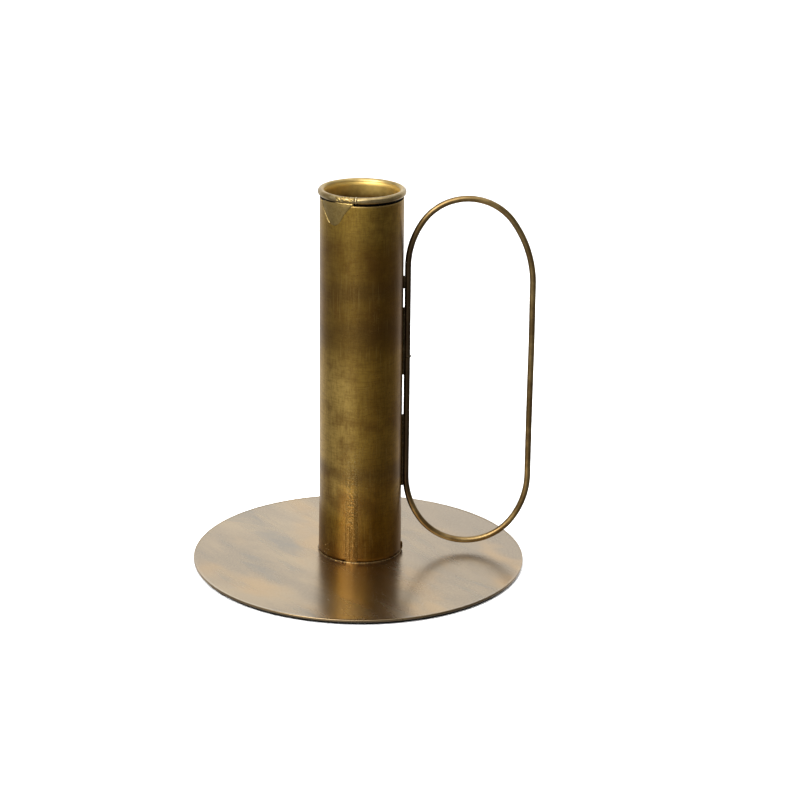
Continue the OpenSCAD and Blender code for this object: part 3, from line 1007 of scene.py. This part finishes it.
dress(felt_pad(), felt(), "felt", "base_felt_pad")
dress(foot_disc(), plate_brass(), "plate_brass", "base_plate")
dress(stem(), tube_brass(), "tube_brass", "stem_tube")
dress(seam(), seam_braze, "solder", "stem_seam_braze")
dress(foot_fillet(), foot_braze, "solder", "foot_braze")
dress(cup(), cup_finish, "cup_brass", "candle_cup")
dress(cup_floor(), cup_finish, "cup_brass", "cup_floor_disc")
dress(joint_braze(), joint_solder, "solder", "rim_joint_braze")
dress(rim_run(), rim_solder, "solder", "rim_solder_run")
dress(loop_wire(), wire_brass(), "wire_brass", "finger_loop")
dress(loop_joint(), loop_solder, "solder", "loop_butt_solder")
for run in ("loop_solder_top", "loop_solder_middle", "loop_solder_bottom"):
    dress(side_solder(run), loop_solder, "solder", run)


# ---------------------------------------------------------------- studio and camera


def floor():
    """A wide pale disc. Everything stands on its middle."""
    radius, sides = 6000, 96
    turns = [2 * math.pi * i / sides for i in range(sides)]
    verts = [(0, 0, 0)] + [(radius * math.cos(a), radius * math.sin(a), 0) for a in turns]
    obj = piece("floor", verts, fan(0, 1, sides, False))
    obj.location.z = (FELT_BOTTOM - 0.01) * MM
    obj.data.materials.append(floor_finish())
    obj.visible_glossy = False


def softbox(name, place, target, size, power):
    """A rectangular area light that faces its target. Lengths are in metres and power in watts."""
    data = bpy.data.lights.new(name, "AREA")
    data.shape = "RECTANGLE"
    data.size, data.size_y = size
    data.energy = power
    obj = bpy.data.objects.new(name, data)
    obj.location = place
    obj.rotation_euler = (Vector(target) - Vector(place)).to_track_quat("-Z", "Y").to_euler()
    obj.visible_camera = False
    bpy.context.scene.collection.objects.link(obj)
    return obj


# What the brass mirrors: a dim room with soft cards in it. Each card has its bearing from the front,
# positive to the right, its height above the horizon, how far it spreads (degrees), and its brightness.
ROOM = 0.2
CARDS = (
    (-42, -16, 50, 0.4),
    (-100, -15, 45, 0.18),
    (0, -22, 50, 0.24),
    (180, -8, 75, 1.1),
    (180, 26, 45, 0.33),
    (-32, 40, 35, 7),
    (0, 90, 50, 2),
    (-105, 24, 50, 0.3),
    (100, 24, 50, 0.2),
)


def surroundings():
    """The world: an even dim room and its soft cards, as brightness by direction."""
    world = bpy.data.worlds.new("surroundings")
    bpy.context.scene.world = world
    g = Graph(world, "Generated")
    light = ROOM
    for bearing, height, spread, brightness in CARDS:
        a, e = math.radians(bearing), math.radians(height)
        towards = (math.sin(a) * math.cos(e), -math.cos(a) * math.cos(e), math.sin(e))
        facing = g.add("ShaderNodeVectorMath", {"operation": "DOT_PRODUCT"}, i0=g.place, i1=towards)
        card = g.steps(facing.outputs["Value"], math.cos(math.radians(spread)), 1, 0, brightness)
        light = g.math("ADD", light, card)
    background = g.add("ShaderNodeBackground", Strength=light)
    output = g.add("ShaderNodeOutputWorld")
    g.tree.links.new(background.outputs[0], output.inputs["Surface"])


def studio():
    """A key light at the left, and a top light for the floor and the felt that the brass doesn't
    mirror."""
    surroundings()
    softbox("key", (-0.65, -0.9, 0.75), (0, 0, 0.07), (0.5, 0.5), 5)
    top = softbox("top", (0, -0.3, 1.3), (0, 0, 0), (1.2, 1.2), 24)
    top.visible_glossy = False


def camera():
    """The photograph's viewpoint: a long lens above the object, in metres, and how it is turned to the
    right, tilted down and rolled, in radians."""
    distance, height = 0.734, 0.302
    pan, tilt, roll = 0.01646, 0.32855, 0.0148
    forward = Vector((math.sin(pan) * math.cos(tilt), math.cos(pan) * math.cos(tilt), -math.sin(tilt)))
    right = Vector((math.cos(pan), -math.sin(pan), 0))
    up = right.cross(forward)
    right, up = (
        right * math.cos(roll) + up * math.sin(roll),
        up * math.cos(roll) - right * math.sin(roll),
    )
    data = bpy.data.cameras.new("camera")
    data.sensor_width = 36
    data.lens = 111.4
    data.clip_start, data.clip_end = 0.01, 50
    obj = bpy.data.objects.new("camera", data)
    turn = Matrix((right, up, -forward)).transposed().to_4x4()
    obj.matrix_world = Matrix.Translation((0, -distance, height)) @ turn
    bpy.context.scene.collection.objects.link(obj)
    bpy.context.scene.camera = obj


floor()
studio()
camera()
bpy.context.scene.view_settings.view_transform = "Standard"
